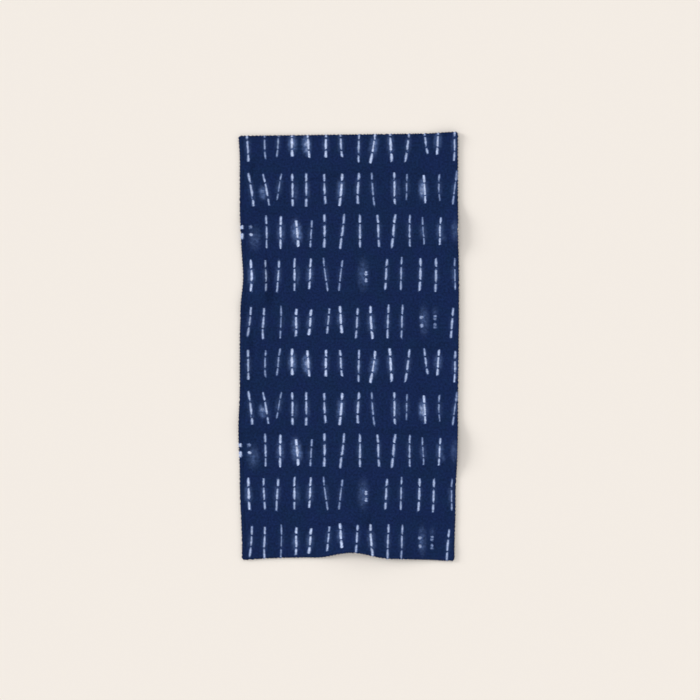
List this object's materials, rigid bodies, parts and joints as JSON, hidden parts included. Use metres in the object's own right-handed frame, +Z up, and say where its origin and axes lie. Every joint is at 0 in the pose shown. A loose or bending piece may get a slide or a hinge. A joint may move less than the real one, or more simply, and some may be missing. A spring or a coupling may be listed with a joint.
{
  "type": "bath towel",
  "caption": "Bath towel of pile cloth laid out flat, patterned face up, with low soft folds and a few lifted edges.",
  "frame": {"origin": "middle of the towel's bounding box, on the surface it lies on", "axes": "+X across the towel, +Y along its length, towards the end that is at the top of the picture, +Z up, out of the patterned face"},
  "size_m": [0.7022, 1.3645, 0.0258],
  "materials": {
    "pile_cloth": "sheared indigo pile with pale rows of stitch resist marks, matt"
  },
  "bodies": {
    "root": {"towel_cloth": "pile_cloth"}
  },
  "joints": []
}
